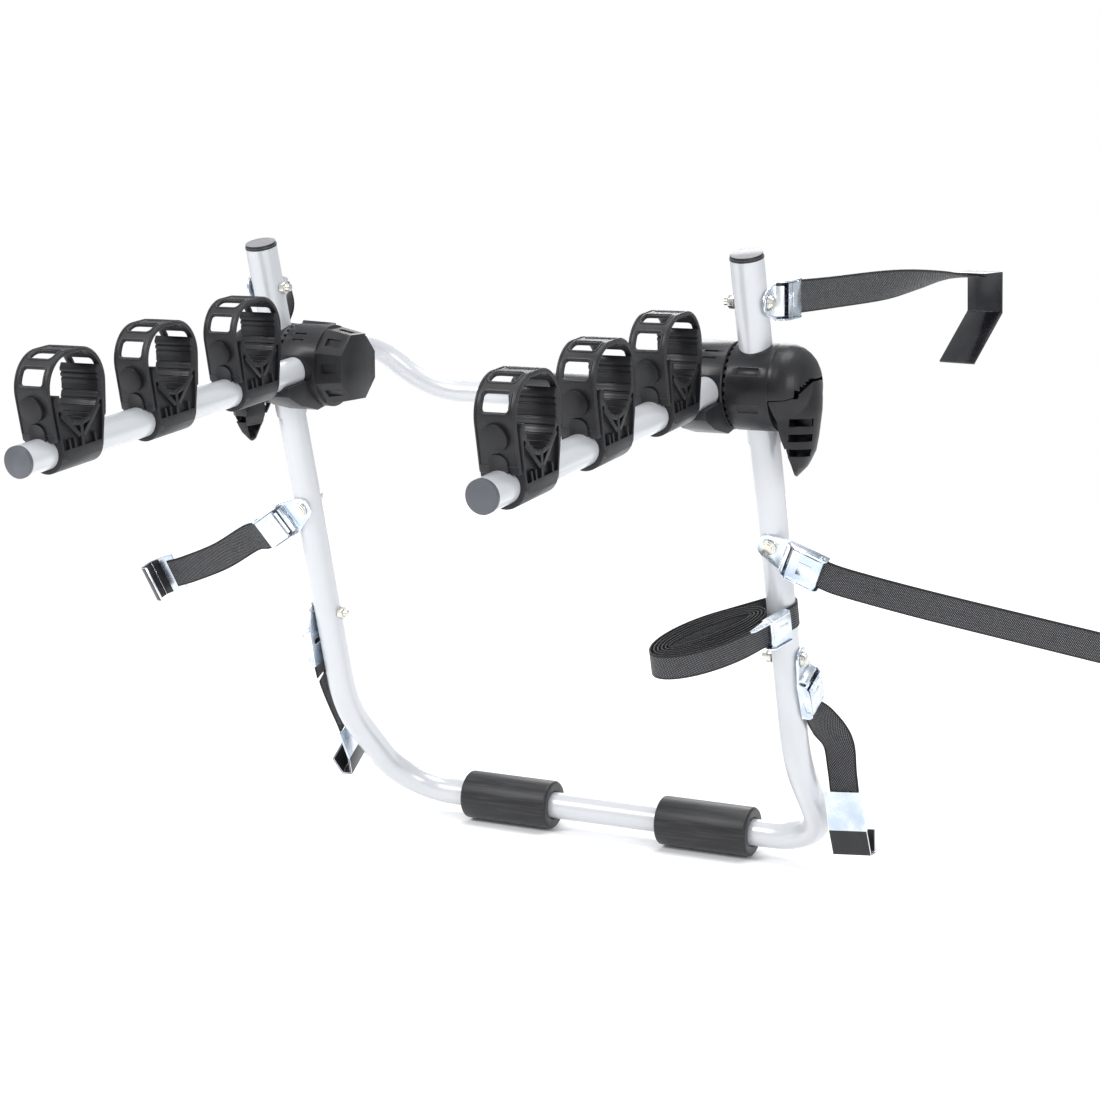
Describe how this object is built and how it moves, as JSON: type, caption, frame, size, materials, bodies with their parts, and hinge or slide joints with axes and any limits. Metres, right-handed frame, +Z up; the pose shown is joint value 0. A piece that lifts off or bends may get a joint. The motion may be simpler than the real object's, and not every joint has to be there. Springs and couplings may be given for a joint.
{
  "type": "trunk mounted bike rack",
  "caption": "Strap-on car rack: tubular frame with foam sleeves, folding carrying arms with rubber-strapped cradles, cam buckle straps with hooks.",
  "frame": {"origin": "on the hub axis, midway between the two hubs", "axes": "+X along the crossbar to the right seen from behind the vehicle, -Y along the carrying arms away from the vehicle, +Z up"},
  "size_m": [1.2417, 0.9636, 0.7309],
  "materials": {
    "silver_paint": "satin",
    "charcoal_plastic": "satin",
    "black_rubber": "matte",
    "black_foam": "satin",
    "zinc_plate": "bright",
    "hook_steel": "bright",
    "plated_steel": "satin",
    "black_webbing": "woven",
    "grey_plastic": "matte",
    "cap_plastic": "satin"
  },
  "bodies": {
    "frame": {"lower_frame": "silver_paint", "post_left": "silver_paint", "post_right": "silver_paint", "post_caps": "cap_plastic", "foam_sleeves": "black_foam", "hub_outer_left": "charcoal_plastic", "hub_outer_right": "charcoal_plastic", "hub_cheek_left": "charcoal_plastic", "hub_cheek_right": "charcoal_plastic", "hub_clamp_rods": "plated_steel", "strap_bolts": "plated_steel", "strap_nuts": "plated_steel", "tie_strap": "black_webbing", "tie_buckle": "zinc_plate"},
    "arm_frame": {"hub_inner_left": "charcoal_plastic", "hub_inner_right": "charcoal_plastic", "arm_left": "silver_paint", "arm_right": "silver_paint", "rear_bar": "silver_paint", "rear_pad": "black_foam", "arm_caps": "grey_plastic"},
    "cradle_left_1_body": {"cradle_left_1": "charcoal_plastic", "cradle_strap_left_1": "black_rubber"},
    "cradle_left_2_body": {"cradle_left_2": "charcoal_plastic", "cradle_strap_left_2": "black_rubber"},
    "cradle_left_3_body": {"cradle_left_3": "charcoal_plastic", "cradle_strap_left_3": "black_rubber"},
    "lever_left": {"hub_lever_left": "charcoal_plastic"},
    "cradle_right_1_body": {"cradle_right_1": "charcoal_plastic", "cradle_strap_right_1": "black_rubber"},
    "cradle_right_2_body": {"cradle_right_2": "charcoal_plastic", "cradle_strap_right_2": "black_rubber"},
    "cradle_right_3_body": {"cradle_right_3": "charcoal_plastic", "cradle_strap_right_3": "black_rubber"},
    "lever_right": {"hub_lever_right": "charcoal_plastic"},
    "strap_top_right": {"buckle_top_right": "zinc_plate", "webbing_top_right": "black_webbing", "hook_top_right": "hook_steel"},
    "cam_top_right": {"buckle_cam_top_right": "zinc_plate"},
    "strap_top_left": {"buckle_top_left": "zinc_plate", "webbing_top_left": "black_webbing", "hook_top_left": "hook_steel"},
    "cam_top_left": {"buckle_cam_top_left": "zinc_plate"},
    "strap_side_right": {"buckle_side_right": "zinc_plate", "webbing_side_right": "black_webbing", "hook_side_right": "hook_steel"},
    "cam_side_right": {"buckle_cam_side_right": "zinc_plate"},
    "strap_side_left": {"buckle_side_left": "zinc_plate", "webbing_side_left": "black_webbing", "hook_side_left": "hook_steel"},
    "cam_side_left": {"buckle_cam_side_left": "zinc_plate"},
    "strap_low_right": {"buckle_low_right": "zinc_plate", "webbing_low_right": "black_webbing", "hook_low_right": "hook_steel"},
    "cam_low_right": {"buckle_cam_low_right": "zinc_plate"},
    "strap_low_left": {"buckle_low_left": "zinc_plate", "webbing_low_left": "black_webbing", "hook_low_left": "hook_steel"},
    "cam_low_left": {"buckle_cam_low_left": "zinc_plate"},
    "tie_cam": {"tie_buckle_cam": "zinc_plate"}
  },
  "joints": [
    {"name": "arm_fold", "type": "hinge", "parent": "frame", "child": "arm_frame", "pos_m": [0, 0, 0], "axis": [1, 0, 0], "range_deg": [-20, 55]},
    {"name": "cradle_swivel_left_1", "type": "hinge", "parent": "arm_frame", "child": "cradle_left_1_body", "pos_m": [-0.25, -0.1384, -0.01308], "axis": [0, 0.9956, 0.0941], "range_deg": [-15, 15]},
    {"name": "cradle_swivel_left_2", "type": "hinge", "parent": "arm_frame", "child": "cradle_left_2_body", "pos_m": [-0.25, -0.29617, -0.028], "axis": [0, 0.9956, 0.0941], "range_deg": [-15, 15]},
    {"name": "cradle_swivel_left_3", "type": "hinge", "parent": "arm_frame", "child": "cradle_left_3_body", "pos_m": [-0.25, -0.45399, -0.04292], "axis": [0, 0.9956, 0.0941], "range_deg": [-15, 15]},
    {"name": "hub_release_left", "type": "hinge", "parent": "frame", "child": "lever_left", "pos_m": [-0.346, 0, -0.005], "axis": [0, 1, 0], "range_deg": [0, 55]},
    {"name": "cradle_swivel_right_1", "type": "hinge", "parent": "arm_frame", "child": "cradle_right_1_body", "pos_m": [0.25, -0.1384, -0.01308], "axis": [0, 0.9956, 0.0941], "range_deg": [-15, 15]},
    {"name": "cradle_swivel_right_2", "type": "hinge", "parent": "arm_frame", "child": "cradle_right_2_body", "pos_m": [0.25, -0.29617, -0.028], "axis": [0, 0.9956, 0.0941], "range_deg": [-15, 15]},
    {"name": "cradle_swivel_right_3", "type": "hinge", "parent": "arm_frame", "child": "cradle_right_3_body", "pos_m": [0.25, -0.45399, -0.04292], "axis": [0, 0.9956, 0.0941], "range_deg": [-15, 15]},
    {"name": "hub_release_right", "type": "hinge", "parent": "frame", "child": "lever_right", "pos_m": [0.346, 0, -0.005], "axis": [0, -1, 0], "range_deg": [0, 55]},
    {"name": "strap_swivel_top_right", "type": "hinge", "parent": "frame", "child": "strap_top_right", "pos_m": [0.311, -0.02598, 0.08826], "axis": [1, 0, 0], "range_deg": [-15, 15]},
    {"name": "cam_lever_top_right", "type": "hinge", "parent": "strap_top_right", "child": "cam_top_right", "pos_m": [0.32, 0.03299, 0.09032], "axis": [0, -0.0349, 0.9994], "range_deg": [0, 65]},
    {"name": "strap_swivel_top_left", "type": "hinge", "parent": "frame", "child": "strap_top_left", "pos_m": [-0.311, -0.02598, 0.08826], "axis": [-1, 0, 0], "range_deg": [-10, 10]},
    {"name": "cam_lever_top_left", "type": "hinge", "parent": "strap_top_left", "child": "cam_top_left", "pos_m": [-0.32, 0.03173, 0.07599], "axis": [0, -0.2079, -0.9781], "range_deg": [0, 65]},
    {"name": "strap_swivel_side_right", "type": "hinge", "parent": "frame", "child": "strap_side_right", "pos_m": [0.293, 0.03386, -0.1735], "axis": [0, -0.9593, -0.2823], "range_deg": [-12, 12]},
    {"name": "cam_lever_side_right", "type": "hinge", "parent": "strap_side_right", "child": "cam_side_right", "pos_m": [0.3469, 0.032, -0.19906], "axis": [0.4067, -0.2579, 0.8764], "range_deg": [0, 65]},
    {"name": "strap_swivel_side_left", "type": "hinge", "parent": "frame", "child": "strap_side_left", "pos_m": [-0.293, 0.03386, -0.1735], "axis": [0, -0.9593, -0.2823], "range_deg": [-12, 12]},
    {"name": "cam_lever_side_left", "type": "hinge", "parent": "strap_side_left", "child": "cam_side_left", "pos_m": [-0.34248, 0.0343, -0.20686], "axis": [0.5446, 0.2368, -0.8045], "range_deg": [0, 65]},
    {"name": "strap_swivel_low_right", "type": "hinge", "parent": "frame", "child": "strap_low_right", "pos_m": [0.3095, 0.08979, -0.30506], "axis": [1, 0, 0], "range_deg": [-3, 15]},
    {"name": "cam_lever_low_right", "type": "hinge", "parent": "strap_low_right", "child": "cam_low_right", "pos_m": [0.3185, 0.11378, -0.35896], "axis": [0, 0.9135, 0.4067], "range_deg": [0, 65]},
    {"name": "strap_swivel_low_left", "type": "hinge", "parent": "frame", "child": "strap_low_left", "pos_m": [-0.3095, 0.08979, -0.30506], "axis": [-1, 0, 0], "range_deg": [-15, 10]},
    {"name": "cam_lever_low_left", "type": "hinge", "parent": "strap_low_left", "child": "cam_low_left", "pos_m": [-0.3185, 0.10406, -0.36231], "axis": [0, -0.9703, -0.2419], "range_deg": [0, 65]},
    {"name": "cam_lever_tie", "type": "hinge", "parent": "frame", "child": "tie_cam", "pos_m": [0.30162, 0.02744, -0.26608], "axis": [0, 0.2823, -0.9593], "range_deg": [0, 60]}
  ]
}
